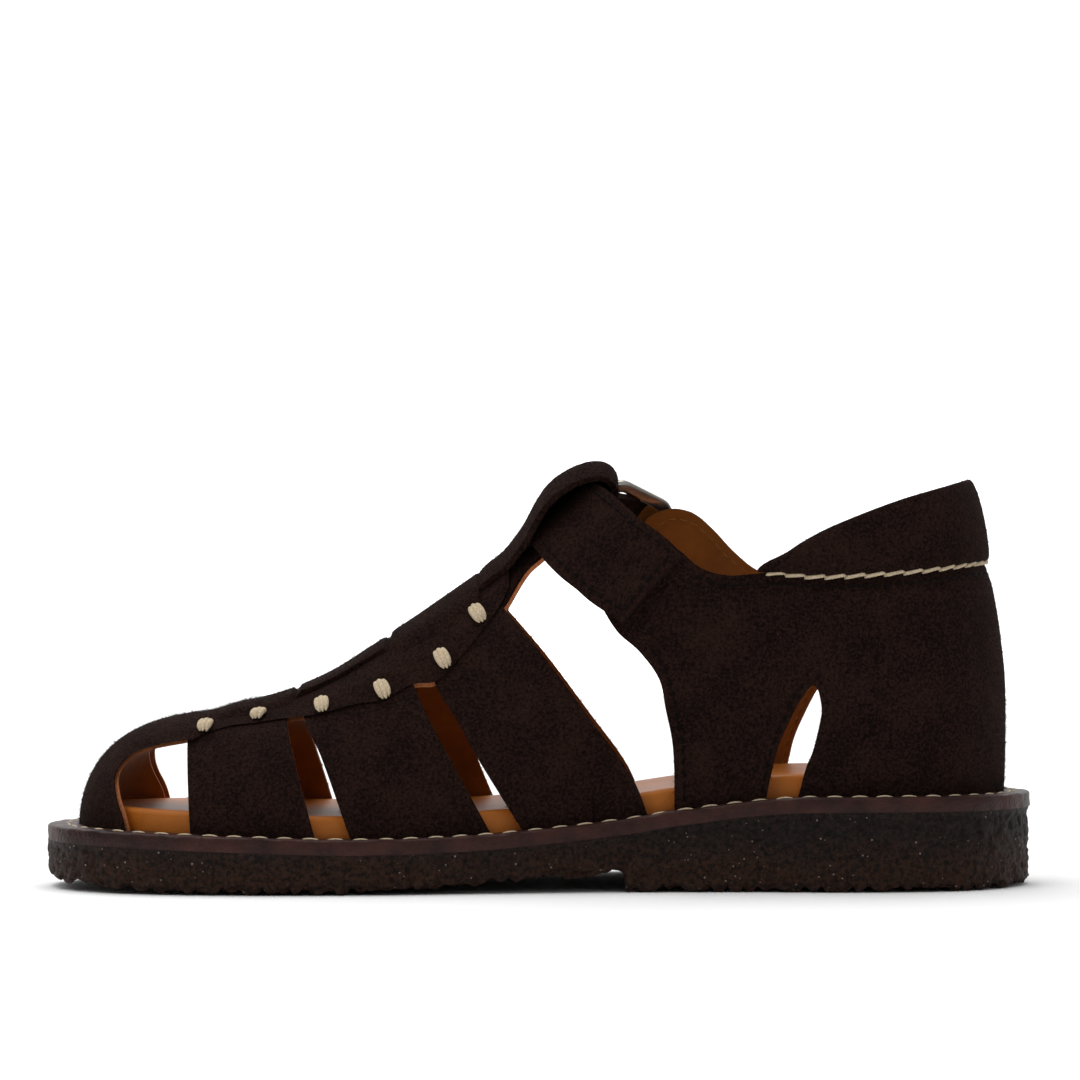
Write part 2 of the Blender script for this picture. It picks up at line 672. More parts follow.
def crepe_rubber(colours, sizes):
    """Natural crepe, pressed and cut: lumpy, satin in its hollows, with light and orange crumbs."""
    material, tree, shader = new_material("crepe_rubber_pressed")
    place = add_node(tree, "ShaderNodeTexCoord").outputs["Object"]
    lumps = add_node(tree, "ShaderNodeTexNoise", {
        "Vector": place, "Scale": 1 / (0.9 * MM), "Detail": 8.0, "Roughness": 0.75})
    height = add_node(tree, "ShaderNodeSeparateXYZ", {"Vector": place})
    # The worn, warmer zone at the ground has a wavy upper limit.
    wave = add_node(tree, "ShaderNodeTexNoise", {
        "Vector": place, "Scale": 1 / (14 * MM), "Detail": 3.0})
    shift = add_node(tree, "ShaderNodeMath", {0: wave.outputs[0], 1: 0.012}, operation="MULTIPLY")
    level = add_node(tree, "ShaderNodeMath", {0: height.outputs["Z"], 1: shift.outputs[0]},
                     operation="SUBTRACT")
    band = add_node(tree, "ShaderNodeMapRange", {
        "Value": level.outputs[0], "From Min": -2 * MM, "From Max": sizes.heel_seat * 0.35,
        "To Min": 0.0, "To Max": 1.0})
    tone = add_node(tree, "ShaderNodeMixRGB", {
        "Fac": band.outputs[0], "Color1": to_linear(colours.crepe_warm),
        "Color2": to_linear(colours.crepe)})
    hollows = add_node(tree, "ShaderNodeValToRGB", {"Fac": lumps.outputs[0]})
    set_ramp(hollows, [(0.4, to_linear("#3a3a3a")), (0.58, to_linear("#ffffff"))])
    mottled = add_node(tree, "ShaderNodeMixRGB", {
        "Fac": 1.0, "Color1": tone.outputs[0], "Color2": hollows.outputs[0]},
        blend_type="MULTIPLY")
    # Crumbs of lighter rubber, up to 0.4 mm across and about 1.5 mm apart.
    crumbs, cell = specks(tree, place, 1.3 * MM, 1, 0.35, 0.17)
    crumb = add_node(tree, "ShaderNodeValToRGB", {"Fac": cell})
    set_ramp(crumb, [(0.35, to_linear("#7a3c1c")), (0.75, to_linear("#8d8178"))])
    speckled = add_node(tree, "ShaderNodeMixRGB", {
        "Fac": crumbs, "Color1": mottled.outputs[0], "Color2": crumb.outputs[0]})
    surface(tree, shader, speckled.outputs[0], lumps.outputs[0], 1.0, 1.1 * MM,
            {"Roughness": 0.6, "Specular IOR Level": 0.2})
    return material


def waxed_thread(name, colour):
    """Twisted linen thread, waxed: slightly hairy with fine slanting strands."""
    material, tree, shader = new_material(name)
    place = add_node(tree, "ShaderNodeTexCoord").outputs["Object"]
    strands = add_node(tree, "ShaderNodeTexNoise", {
        "Vector": place, "Scale": 1 / (0.35 * MM), "Detail": 3.0, "Roughness": 0.6})
    tone = two_tones(tree, strands, colour, 0.6, 0.3, 0.62)
    surface(tree, shader, tone, strands.outputs[0], 0.5, 0.15 * MM,
            {"Roughness": 0.8, "Specular IOR Level": 0.1})
    return material


def satin_steel(colours):
    """Stamped steel, satin polished: bright, with faint rubbing marks."""
    material, tree, shader = new_material("steel_stamped_satin")
    place = add_node(tree, "ShaderNodeTexCoord").outputs["Object"]
    marks = add_node(tree, "ShaderNodeTexNoise", {
        "Vector": place, "Scale": 1 / (0.8 * MM), "Detail": 5.0, "Roughness": 0.6})
    rough = add_node(tree, "ShaderNodeMapRange", {
        "Value": marks.outputs[0], "To Min": 0.22, "To Max": 0.4})
    tone = two_tones(tree, marks, colours.steel, 0.8, 0.3, 0.7)
    tree.links.new(tone, shader.inputs["Base Color"])
    tree.links.new(rough.outputs[0], shader.inputs["Roughness"])
    shader.inputs["Metallic"].default_value = 1.0
    return material


def studio_paper(colours, glow):
    """Matt white studio paper; the backdrop has a light behind it, so that it stays white."""
    material, _, shader = new_material("studio_paper_matt")
    shader.inputs["Emission Color"].default_value = (1, 1, 1, 1)
    shader.inputs["Emission Strength"].default_value = glow
    shader.inputs["Base Color"].default_value = to_linear(colours.floor)
    shader.inputs["Roughness"].default_value = 1.0
    shader.inputs["Specular IOR Level"].default_value = 0.0
    return material


shop = {}


def prepare(context):
    """Makes the last and the materials once, for all the operators."""
    if shop:
        return shop
    sizes, colours = context.scene.sandal_sizes, context.scene.sandal_colours
    shop["sizes"] = sizes
    shop["last"] = Last(sizes)
    shop["suede"] = brushed_suede(colours)
    shop["lining"] = smooth_leather("lining_leather_smooth", colours.lining, 0.4 * MM,
                                    0.04 * MM, 0.6724, 0.25)
    shop["edge"] = cut_leather(colours)
    shop["footbed"] = smooth_leather("footbed_leather_tanned", colours.footbed, 0.5 * MM,
                                     0.08 * MM, 0.7396, 0.3)
    shop["welt"] = smooth_leather("welt_leather_oiled", colours.welt, 0.7 * MM, 0.25 * MM,
                                  0.2025, 0.2)
    shop["crepe"] = crepe_rubber(colours, sizes)
    shop["thread"] = waxed_thread("linen_thread_waxed", colours.thread)
    shop["dark_thread"] = waxed_thread("nylon_thread_brown", colours.dark_thread)
    shop["tan_thread"] = waxed_thread("nylon_thread_tan", colours.tan_thread)
    shop["steel"] = satin_steel(colours)
    shop["paper"] = studio_paper(colours, 0.0)
    shop["backdrop"] = studio_paper(colours, 0.8)
    # The three slots of a layer: outer face, inner face and cut edge.
    shop["suede_all"] = [shop["suede"]] * 3
    shop["lined"] = [shop["edge"], shop["lining"], shop["edge"]]
    return shop


def rib_course(last, back, fan, spine):
    """Ribs from the medial side at the back, round the toe, to the lateral side at the back."""
    side = [last.rib(mix(back, TOE_CENTRE, i / spine), -math.pi / 2) for i in range(spine)]
    for i in range(2 * fan + 1):
        side.append(last.rib(TOE_CENTRE, -math.pi / 2 - math.pi * i / (2 * fan)))
    side += [last.rib(mix(TOE_CENTRE, back, (i + 1) / spine), math.pi / 2) for i in range(spine)]
    return side


def whole_course(last, fan, spine):
    """Ribs all the way round, starting and ending at the heel."""
    turn = math.pi / 2 / fan
    ribs = [last.rib(HEEL_CENTRE, -i * turn) for i in range(fan)]
    ribs += [last.rib(mix(HEEL_CENTRE, TOE_CENTRE, i / spine), -math.pi / 2)
             for i in range(spine)]
    ribs += [last.rib(TOE_CENTRE, -math.pi / 2 - i * turn) for i in range(2 * fan)]
    ribs += [last.rib(mix(TOE_CENTRE, HEEL_CENTRE, i / spine), math.pi / 2)
             for i in range(spine)]
    ribs += [last.rib(HEEL_CENTRE, math.pi / 2 - i * turn) for i in range(fan + 1)]
    return ribs


def stitch_pull(last):
    """Where the heavy stitches pull the leather down: their places on both sides."""
    places = []
    for at, up, _ in HAND_STITCHES:
        for side in (-1, 1):
            places.append(last.seen_at(at, up, side, 2 * MM))
    return places


def pulled(point, places, depth, width):
    """How deep a point lies in the dents of the stitches."""
    total = 0.0
    for place in places:
        gap = (point - place).length_squared
        if gap < 9 * width * width:
            total += depth * math.exp(-gap / (width * width))
    return total


def dome(last, name, ribs, rows, offset, thickness, materials):
    """A closed layer over the last, from the feather to the ridge."""

    def place(u, v):
        rib = nearest(ribs, u)
        return last.point(rib, v, offset(last.point(rib, v, 2 * MM)))

    piece = wrap_grid(name, len(ribs) - 1, rows, place, materials)
    weld(piece)
    apply(piece, "SOLIDIFY", thickness=thickness, offset=-1)
    return piece


def band_offset(last, sizes, places):
    """The height of the band's top face over the last, with the bulges of the hidden tail."""
    step = 0.35 * MM

    def bulge(point):
        at = last.share(point.x)
        across = abs(point.y - last.ridge_side(point.x))
        wide = 1 - smoothstep(across, 0.107 * last.ball, 0.145 * last.ball)
        along = 0.0
        for start, end in TAIL_UNDER:
            rise = smoothstep(point.x, last.x_of(start) - step, last.x_of(start) + step)
            if start < 0.2:
                rise = smoothstep(at, start - 0.01, start + 0.03)
            fall = 1 - smoothstep(point.x, last.x_of(end) - step, last.x_of(end) + step)
            along = max(along, rise * fall)
        return wide * along

    def sewn_down(point):
        at = last.share(point.x)
        rows = BAND_EDGE
        i = next((k for k in range(1, len(rows)) if rows[k][0] > at), len(rows) - 1)
        (a, low), (b, high) = rows[i - 1], rows[i]
        edge = last.up_of(mix(low, high, (at - a) / (b - a)))
        near = 1 - smoothstep(point.z, edge, edge + 4 * MM)
        return 0.75 * MM * near * smoothstep(at, 0.15, 0.17)

    def offset(point):
        full = sizes.wall + sizes.band_step + sizes.tail_step * bulge(point) - sewn_down(point)
        return full + (creases(point, 0.22 * MM, 11 * MM)
                       - pulled(point, places, 0.45 * MM, 2.6 * MM))

    return offset


def band_tool(last, narrower=0.0):
    """The block that keeps the toe piece and, behind it, what lies above the band's edge."""
    start, end = BAND_EDGE[0][0], BAND_EDGE[-1][0]
    edge = side_loop_open(last, BAND_EDGE, 8)
    waved = []
    for p in edge:
        nearest = min(abs(last.share(p.x) - row[0]) for row in HAND_STITCHES)
        drop = 0.35 * MM * (1 - smoothstep(nearest, 0.0, 0.028)) - 0.15 * MM - narrower
        waved.append(Vector((p.x, p.y - drop)))
    low, tall = last.up_of(-0.35), last.up_of(CLEAR_ABOVE)
    loop = [Vector((last.x_of(-0.1), low)), Vector((last.x_of(start), low)), *waved,
            Vector((last.x_of(end), tall)), Vector((last.x_of(-0.1), tall))]
    return side_prism(loop, -last.ball, last.ball)


def opening_tools(last, shrink):
    """The cutters for the openings of the side walls, each smaller by a distance all round."""
    wide, centre = last.ball, MIDLINE * last.ball
    table = [
        (FRONT_GAP, 0.0, (0, 1, 4, 5), -wide, centre),
        (MIDDLE_GAP, 0.0, (0, 1, 5, 6), -wide, centre),
        (TOE_HOLE_MEDIAL, 0.0, (5, 6, 7), -wide, centre),
        (TEARDROP, 0.0, (7, 8), -wide, 0.0),
        (FRONT_GAP, FRONT_GAP_SHIFT, (0, 1, 4, 5), centre, wide),
        (MIDDLE_GAP_LATERAL, 0.0, (0, 1, 4, 5), centre, wide),
        (TOE_HOLE_LATERAL, 0.0, (0, 6, 7, 8, 9), centre, wide),
        (TEARDROP, TEARDROP_SHIFT, (7, 8), 0.0, wide),
    ]
    tools = []
    for rows, shift, corners, start, end in table:
        moved = [(at + shift, up) for at, up in rows]
        tools.append(side_prism(grown(side_loop(last, moved, corners), -shrink), start, end))
    return tools


def top_tool(last, quarter, start, end, shrink):
    """The cutter for all that is open behind the last strap and above the top line."""
    seam = list(zip(SEAM["at"], SEAM["up"]))
    if start < 0:
        front = side_loop_open(last, STRAP_REAR, 6)
        rear = side_loop_open(last, quarter[:7], 6) + side_loop_open(last, quarter[7:] + seam, 6)
    else:
        front = side_loop_open(last, STRAP_REAR_LATERAL, 6)
        rear = side_loop_open(last, quarter + seam, 6)
    tall = last.up_of(CLEAR_ABOVE)
    top = [Vector((last.x_of(1.1), tall)), Vector((last.x_of(0.466), tall))]
    loop = grown(front + rear + top, -shrink)
    return side_prism(loop, start, end)


def side_loop_open(last, rows, steps):
    """A smooth open stretch of a side-view outline."""
    return spline([Vector((last.x_of(at), last.up_of(up))) for at, up in rows], False, steps)


def strap_point(last, s, w, offset):
    """A point of the ankle strap: s runs along it, w across it from its lower to its upper edge."""
    at = mix(read(STRAP, "low_at", s), read(STRAP, "high_at", s), w)
    side = mix(read(STRAP, "low_side", s), read(STRAP, "high_side", s), w)
    return last.side_point(at, side, offset)


def strap_bed(sizes, s):
    """The height of the strap's underside over the last."""
    return sizes.wall + 0.3 * MM + sizes.strap * read(STRAP, "lift", s)


def stitch_mesh(points, radius, sides):
    """Vertices and faces of one short thread with closed round ends along a path."""
    verts, faces = [], []
    count = len(points)
    for i, point in enumerate(points):
        along = (points[min(i + 1, count - 1)] - points[max(i - 1, 0)]).normalized()
        side = along.cross(Vector((0, 0, 1)))
        if side.length < 0.2:
            side = along.cross(Vector((0, 1, 0)))
        side.normalize()
        up = side.cross(along)
        share = i / (count - 1)
        width = radius * max(0.25, (1 - (2 * share - 1) ** 6) ** 0.5)
        for k in range(sides):
            angle = 2 * math.pi * k / sides
            verts.append(point + (side * math.cos(angle) + up * math.sin(angle)) * width)
    for i in range(count - 1):
        for k in range(sides):
            a, b = i * sides + k, i * sides + (k + 1) % sides
            faces.append((a, a + sides, b + sides, b))
    faces.append(tuple(range(sides)))
    faces.append(tuple(reversed(range((count - 1) * sides, count * sides))))
    return verts, faces


def mesh_piece(name, verts, faces, material):
    """A piece of one material from its points and faces."""
    mesh = bpy.data.meshes.new(name)
    mesh.from_pydata(verts, [], faces)
    mesh.materials.append(material)
    piece = bpy.data.objects.new(name, mesh)
    bpy.context.collection.objects.link(piece)
    return piece


def thread_piece(name, runs, radius, material, sides):
    """All the threads of one seam as one piece."""
    verts, faces = [], []
    for run in runs:
        more, rings = stitch_mesh(run, radius, sides)
        faces += [tuple(i + len(verts) for i in face) for face in rings]
        verts += more
    piece = mesh_piece(name, verts, faces, material)
    weld(piece, 1e-7)
    settle(piece, 60)
    return piece


def seam_runs(path, pitch, share, normal_at, rise, sink):
    """Stitches along a path: each rises a little over the leather and dips in at its ends."""
    length = sum((b - a).length for a, b in zip(path, path[1:]))
    count = max(1, round(length / pitch))
    fine = evenly(path, False, count * 8 + 1)
    runs = []
    for i in range(count):
        start = i * 8
        used = max(2, round(8 * share))
        run = []
        for k in range(used + 1):
            u = k / used
            height = rise * math.sin(math.pi * u) - sink * (1 - math.sin(math.pi * u))
            point = fine[start + k]
            run.append(point + normal_at(point) * height)
        runs.append(run)
    return runs


class SANDAL_OT_stage(bpy.types.Operator):
    """Adds the floor, the lights and the camera"""

    bl_idname = "sandal.stage"
    bl_label = "Stage"

    def execute(self, context):
        made = prepare(context)
        add_floor(made)
        add_lights(context)
        add_camera(context)
        return {"FINISHED"}


def add_floor(made):
    """A white paper floor and a backdrop that rises behind it."""
    half, front, join_at, bend, rise = 3.0, -2.2, 1.2, 0.8, 2.5

    def flat(u, v):
        return Vector((mix(-half, half, u), mix(front, join_at, v), 0))

    def sweep(u, v):
        run = v * (bend * math.pi / 2 + rise)
        arc = min(math.pi / 2, run / bend)
        over = max(0.0, run - bend * math.pi / 2)
        y = join_at + bend * math.sin(arc)
        return Vector((mix(-half, half, u), y, bend - bend * math.cos(arc) + over))

    floor = wrap_grid("floor", 2, 2, flat, [made["paper"]])
    backdrop = wrap_grid("backdrop", 2, 60, sweep, [made["backdrop"]])
    settle(backdrop)


def add_lights(context):
    """Large soft lights and an even white surround."""
    world = bpy.data.worlds.new("studio")
    context.scene.world = world
    world.use_nodes = True
    world.node_tree.nodes["Background"].inputs["Color"].default_value = (1, 1, 1, 1)
    world.node_tree.nodes["Background"].inputs["Strength"].default_value = 0.3
    lamps = [
        ("key", (-1.0, -0.9, 1.4), 1.0, 6), ("fill", (1.0, -1.2, 0.9), 1.2, 2),
        ("top", (-0.2, 0.3, 1.6), 1.4, 19),
    ]
    for name, place, size, power in lamps:
        lamp = bpy.data.lights.new(name, "AREA")
        lamp.size = size
        lamp.energy = power
        holder = bpy.data.objects.new(name, lamp)
        holder.location = place
        aim = Vector((0, 0, 0.03)) - Vector(place)
        holder.rotation_euler = aim.to_track_quat("-Z", "Y").to_euler()
        context.collection.objects.link(holder)


def add_camera(context):
    """A level camera a metre from the sandal's middle, on its medial side."""
    width_seen = 0.2211
    distance = 1.0
    camera = bpy.data.cameras.new("camera")
    camera.sensor_width = 36
    camera.sensor_fit = "HORIZONTAL"
    camera.lens = camera.sensor_width * distance / width_seen
    camera.clip_start = 0.05
    holder = bpy.data.objects.new("camera", camera)
    holder.location = (0, -distance, 0.0701)
    holder.rotation_euler = (math.pi / 2, 0, 0)
    context.collection.objects.link(holder)
    context.scene.camera = holder
    context.scene.view_settings.view_transform = "Standard"
    context.scene.view_settings.look = "None"


class SANDAL_OT_outsole(bpy.types.Operator):
    """Models the crepe outsole with its toe spring, arch and low heel"""

    bl_idname = "sandal.outsole"
    bl_label = "Outsole"

    def execute(self, context):
        made = prepare(context)
        last, sizes = made["last"], made["sizes"]
        ring = evenly(last.outline, True, 1000)
        rim = [(p, (ring[(i + 1) % len(ring)] - ring[i - 1]).normalized())
               for i, p in enumerate(ring)]
        rim.append(rim[0])
        breast = last.x_of(0.585)
        # Shares of the section: the tread up to the first, the side wall up to the second.
        tread, rim_end = 0.2, 0.96

        def lift(x):
            if x > breast:
                return 0.0
            return sizes.breast_height * max(0.0, read(SEAT, "under", last.share(x)))

        def lumps(spot):
            lobe = abs(noise.noise(Vector((spot.x, spot.y, 0)) / (3.1 * MM)))
            return 1.35 * MM * max(0.0, 1 - 2.4 * lobe)

        def place(u, v):
            p, along = nearest(rim, u)
            inward = Vector((-along.y, along.x))
            low, high = lift(p.x), last.seat(p.x) - 0.05 * MM
            if v < tread:
                share = 1 - v / tread
                spot = p + inward * (1.2 * MM + share * 20 * MM)
                raised = 0.7 * MM * smoothstep(share, 0.0, 0.12)
                return Vector((spot.x, spot.y, lift(spot.x) + lumps(spot) + raised))
            if v > rim_end:
                spot = p + inward * (9 * MM * (v - rim_end) / (1 - rim_end))
                return Vector((spot.x, spot.y, high))
            up = (v - tread) / (rim_end - tread)
            corner = 1.2 * MM
            z = mix(low, high, up)
            edge = max(0.0, 1 - (z - low) / corner)
            spot = p + inward * (corner * edge * edge)
            spot3 = Vector((spot.x, spot.y, z))
            lump = noise.noise(spot3 / (2.1 * MM)) * 0.45 * MM
            lump += noise.noise(spot3 / (0.95 * MM)) * 0.34 * MM
            droop = 1 - smoothstep(z, low, low + 2.5 * MM)
            lump = (lump - 0.35 * MM) * (1 - 0.8 * smoothstep(z, high - 1.5 * MM, high))
            spot3 += Vector((inward.x, inward.y, 0)) * -lump
            spot3.z += droop * lumps(p)
            return spot3

        piece = wrap_grid("crepe_outsole", len(rim) - 1, 50, place, [made["crepe"]])
        close_piece(piece, "crepe_rubber", "outsole")
        return {"FINISHED"}


def fill_borders(piece):
    """Closes the open rims of a piece with faces."""
    weld(piece)
    pick(piece)
    bpy.ops.object.mode_set(mode="EDIT")
    bpy.ops.mesh.select_all(action="DESELECT")
    bpy.ops.mesh.select_non_manifold()
    bpy.ops.mesh.fill()
    bpy.ops.mesh.select_all(action="SELECT")
    bpy.ops.mesh.normals_make_consistent(inside=False)
    deselect()


def close_piece(piece, slot, node):
    """Closes a wrapped form, smooths it and puts it on the frame."""
    fill_borders(piece)
    settle(piece, 50)
    finish_piece(piece, slot, node)


def thicken(piece, last, thickness, *nodes, **solid):
    """Makes a sheet over the foot into leather of a thickness and puts it on the frame."""
    face_outwards(piece, last)
    apply(piece, "SOLIDIFY", thickness=thickness, offset=-1, **solid)
    settle(piece, CRISP)
    finish_piece(piece, "suede", *nodes)


def finish_piece(piece, slot, *nodes):
    """Puts a piece on the frame: it rides on the root and stands for CAD nodes."""
    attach(piece, "root")
    if nodes:
        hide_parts(*nodes)


class SANDAL_OT_welt(bpy.types.Operator):
    """Models the welt, a strip of leather round the sole with its joint at the arch"""

    bl_idname = "sandal.welt"
    bl_label = "Welt"

    def execute(self, context):
        made = prepare(context)
        last, sizes = made["last"], made["sizes"]
        ring = evenly(last.outline, True, 520)
        joint = last.x_of(WELT_JOINT)
        start = min(range(len(ring)),
                    key=lambda i: abs(ring[i].x - joint) + (1 if ring[i].y > 0 else 0))
        ring = ring[start:] + ring[:start + 1]
        width = 6.2 * MM
        section = [(1.0, 0.0), (0.5, 0.0), (0.07, 0.0), (0.004, 0.0), (0.0, 0.03), (0.0, 0.5),
                   (0.0, 0.84), (0.02, 0.95), (0.08, 1.0), (0.3, 1.01), (0.6, 1.0), (1.0, 1.0)]

        def place(u, v):
            i = min(len(ring) - 1, round(u * (len(ring) - 1)))
            p = ring[i]
            before, after = ring[max(i - 1, 0)], ring[min(i + 1, len(ring) - 1)]
            along = (after - before).normalized()
            inward = Vector((-along.y, along.x))
            if i == 0:
                p = p + along * 0.15 * MM
            depth, up = nearest(section, v)
            deep = last.inset(p.x) - 0.3 * MM
            spot = p + inward * (depth * max(width, deep))
            z = last.seat(p.x) + sizes.welt * up
            wave = creases((p.x, p.y, z), 0.22 * MM, 4 * MM)
            spot += inward * (creases((p.x, p.y, z), 0.3 * MM, 2.6 * MM) * (1 - depth))
            return Vector((spot.x, spot.y, z + wave * up))

        piece = wrap_grid("welt_strip", len(ring) - 1, len(section) - 1, place, [made["welt"]])
        close_piece(piece, "welt_leather", "welt")
        return {"FINISHED"}


class SANDAL_OT_footbed(bpy.types.Operator):
    """Models the leather footbed, dished to the foot"""

    bl_idname = "sandal.footbed"
    bl_label = "Footbed"

    def execute(self, context):
        made = prepare(context)
        last = made["last"]
        ribs = whole_course(last, 26, 110)
        section = [(0.02, 0.3), (0.3, 0.32), (3.2, 0.32), (6.4, 0.34), (7.1, 0.55), (7.45, 1.1),
                   (7.5, 2.0), (7.4, 4), (7.1, 7), (6.7, 11), (6.5, 16)]

        def place(u, v):
            height, inset = nearest(section, v)
            foot, direction, far = nearest(ribs, u)[:3]
            spot = foot + direction * max(0.0, far - inset * MM)
            if v == 1:
                spot = foot
            z = last.seat(spot.x) + height * MM
            return Vector((spot.x, spot.y, z + creases((spot.x, spot.y, 0), 0.15 * MM, 20 * MM)))

        piece = wrap_grid("footbed_leather", len(ribs) - 1, len(section) - 1, place,
                          [made["footbed"]])
        close_piece(piece, "footbed_leather", "footbed")
        return {"FINISHED"}


class SANDAL_OT_side_straps(bpy.types.Operator):
    """Models the three crossing straps and the quarters, in suede with a tan lining"""

    bl_idname = "sandal.side_straps"
    bl_label = "Side straps and quarters"

    def execute(self, context):
        made = prepare(context)
        last, sizes = made["last"], made["sizes"]
        ribs = whole_course(last, 30, 150)
        places = stitch_pull(last)

        def outer(point):
            wave = creases(point, 0.3 * MM, 13 * MM)
            at = last.share(point.x)
            below = (last.up_of(read(SEAM, "up", at)) - point.z) / (2.2 * MM)
            pinch = 0.8 * MM * math.exp(-below * below) * smoothstep(at, 0.72, 0.78)
            dents = pulled(point, places, 0.35 * MM, 2.6 * MM)
            return sizes.wall + wave - dents - pinch

        def inner(point):
            return outer(point) - sizes.suede - 0.02 * MM

        layers = []
        for name, offset, thickness, shrink, materials in (
                ("straps_suede", outer, sizes.suede, 0.0, "suede_all"),
                ("straps_lining", inner, sizes.wall - sizes.suede, -0.05 * MM, "lined")):
            piece = dome(last, name, ribs, 56, offset, thickness, made[materials])
            if name == "straps_lining":
                mark_inner(piece, last)
            tools = opening_tools(last, shrink)
            tools.append(top_tool(last, QUARTER_MEDIAL, -last.ball, 1.1 * MM, 12 * shrink))
            tools.append(top_tool(last, QUARTER_LATERAL, -1.2 * MM, last.ball, shrink))
            for tool in tools:
                cut(piece, tool)
            settle(piece, CRISP)
            layers.append(piece)
        finish_piece(layers[0], "suede", "upper")
        finish_piece(layers[1], "suede")
        return {"FINISHED"}


def mark_inner(piece, last):
    """Gives the faces that look into the shoe the second material."""
    for face in piece.data.polygons:
        middle = foot_core(last, within_foot(last, face.center.x), 10 * MM)
        face.material_index = 1 if face.normal.dot(middle - face.center) > 0 else 0


class SANDAL_OT_toe_band(bpy.types.Operator):
    """Models the toe piece, which runs on as the band over the straps"""

    bl_idname = "sandal.toe_band"
    bl_label = "Toe piece and band"

    def execute(self, context):
        made = prepare(context)
        last, sizes = made["last"], made["sizes"]
        ribs = rib_course(last, 0.475, 30, 130)
        places = stitch_pull(last)
        offset = band_offset(last, sizes, places)
        piece = dome(last, "toe_piece_band", ribs, 64, offset, 1.15 * MM, made["suede_all"])
        cut(piece, band_tool(last), "INTERSECT")
        for tool in toe_tools(last, 0.0):
            cut(piece, tool)
        settle(piece, CRISP)
        finish_piece(piece, "suede")

        def under(point):
            sunk = 0.4 * MM * smoothstep(last.share(point.x), 0.15, 0.165)
            return offset(point) - 1.17 * MM - sunk

        inside = dome(last, "toe_lining", rib_course(last, 0.41, 30, 70), 64, under,
                      0.95 * MM, made["lined"])
        mark_inner(inside, last)
        cut(inside, band_tool(last, -0.9 * MM), "INTERSECT")
        for tool in toe_tools(last, 0.75 * MM):
            cut(inside, tool)
        settle(inside, CRISP)
        finish_piece(inside, "suede")
        return {"FINISHED"}


def toe_tools(last, shrink):
    """The cutters for the two toe openings in the toe piece."""
    rear = 0.151 + 1.3 * shrink / last.length
    centre = MIDLINE * last.ball
    medial = TOE_HOLE_MEDIAL[:6] + [(rear, 0.2062), (rear, -0.16), (0.097, -0.16)]
    lateral = TOE_HOLE_LATERAL[:7] + [(rear, 0.2025), (rear, -0.16)]
    near = grown(side_loop(last, medial, (5, 6, 7, 8)), -shrink)
    far = grown(side_loop(last, lateral, (0, 6, 7, 8)), -shrink)
    return [side_prism(near, -last.ball, centre), side_prism(far, centre, last.ball)]


class SANDAL_OT_tail(bpy.types.Operator):
    """Models the tail woven through the band and the loop it ends in"""

    bl_idname = "sandal.tail"
    bl_label = "Tail and loop"

    def execute(self, context):
        made = prepare(context)
        last, sizes = made["last"], made["sizes"]
        start, end = TAIL_OVER
        half = TAIL_HALF * last.ball
        top = sizes.wall + sizes.band_step + sizes.tail_step

        def over(u, v):
            at = mix(start, end, u)
            dive = smoothstep(at, start + 0.006, start) if at < start + 0.006 else 0.0
            if at > end - 0.006:
                dive = smoothstep(at, end - 0.006, end)
            across = mix(-half, half, v)
            edge = abs(2 * v - 1) ** 10
            point = last.ridge_point(at, across, top)
            height = top - 0.9 * MM * dive - 0.25 * MM * edge + creases(point, 0.15 * MM, 8 * MM)
            return last.ridge_point(at, across, height)

        piece = wrap_grid("tail_over_band", 90, 36, over, made["suede_all"])
        thicken(piece, last, 1.0 * MM)
        path = spline([Vector((at, off * 0.01)) for at, off in LOOP], False, 8)

        def loop(u, v):
            row = nearest(path, u)
            side = 0.2 * (2 * v - 1)
            wide = 1 - 0.06 * smoothstep(row.x, 0.49, 0.55)
            if row.y < 0.012:
                wide += 0.55 * (1 - smoothstep(row.x, 0.46, 0.49))
            off = row.y * 100 * MM
            rest = mix(5.4, 1.5, smoothstep(row.x, 0.549, 0.561)) * MM
            if off > rest:
                off = mix(off, rest, smoothstep(v, 0.35, 0.95))
            return last.side_point(row.x, side * wide, off)

        piece = wrap_grid("tail_loop", len(path) - 1, 30, loop, made["suede_all"])
        apply(piece, "SOLIDIFY", thickness=1.3 * MM, offset=0, use_even_offset=True)
        settle(piece, CRISP)
        finish_piece(piece, "suede", "t_strap")

        def under(u, v):
            at = mix(0.452, 0.552, u)
            wide = 0.2 + 0.135 * (1 - smoothstep(at, 0.455, 0.492))
            return last.side_point(at, (2 * v - 1) * wide, 0.25 * MM)

        lining = wrap_grid("tail_lining", 50, 30, under, [made["edge"], made["lining"]] * 2)
        thicken(lining, last, 0.9 * MM, material_offset=1)
        return {"FINISHED"}


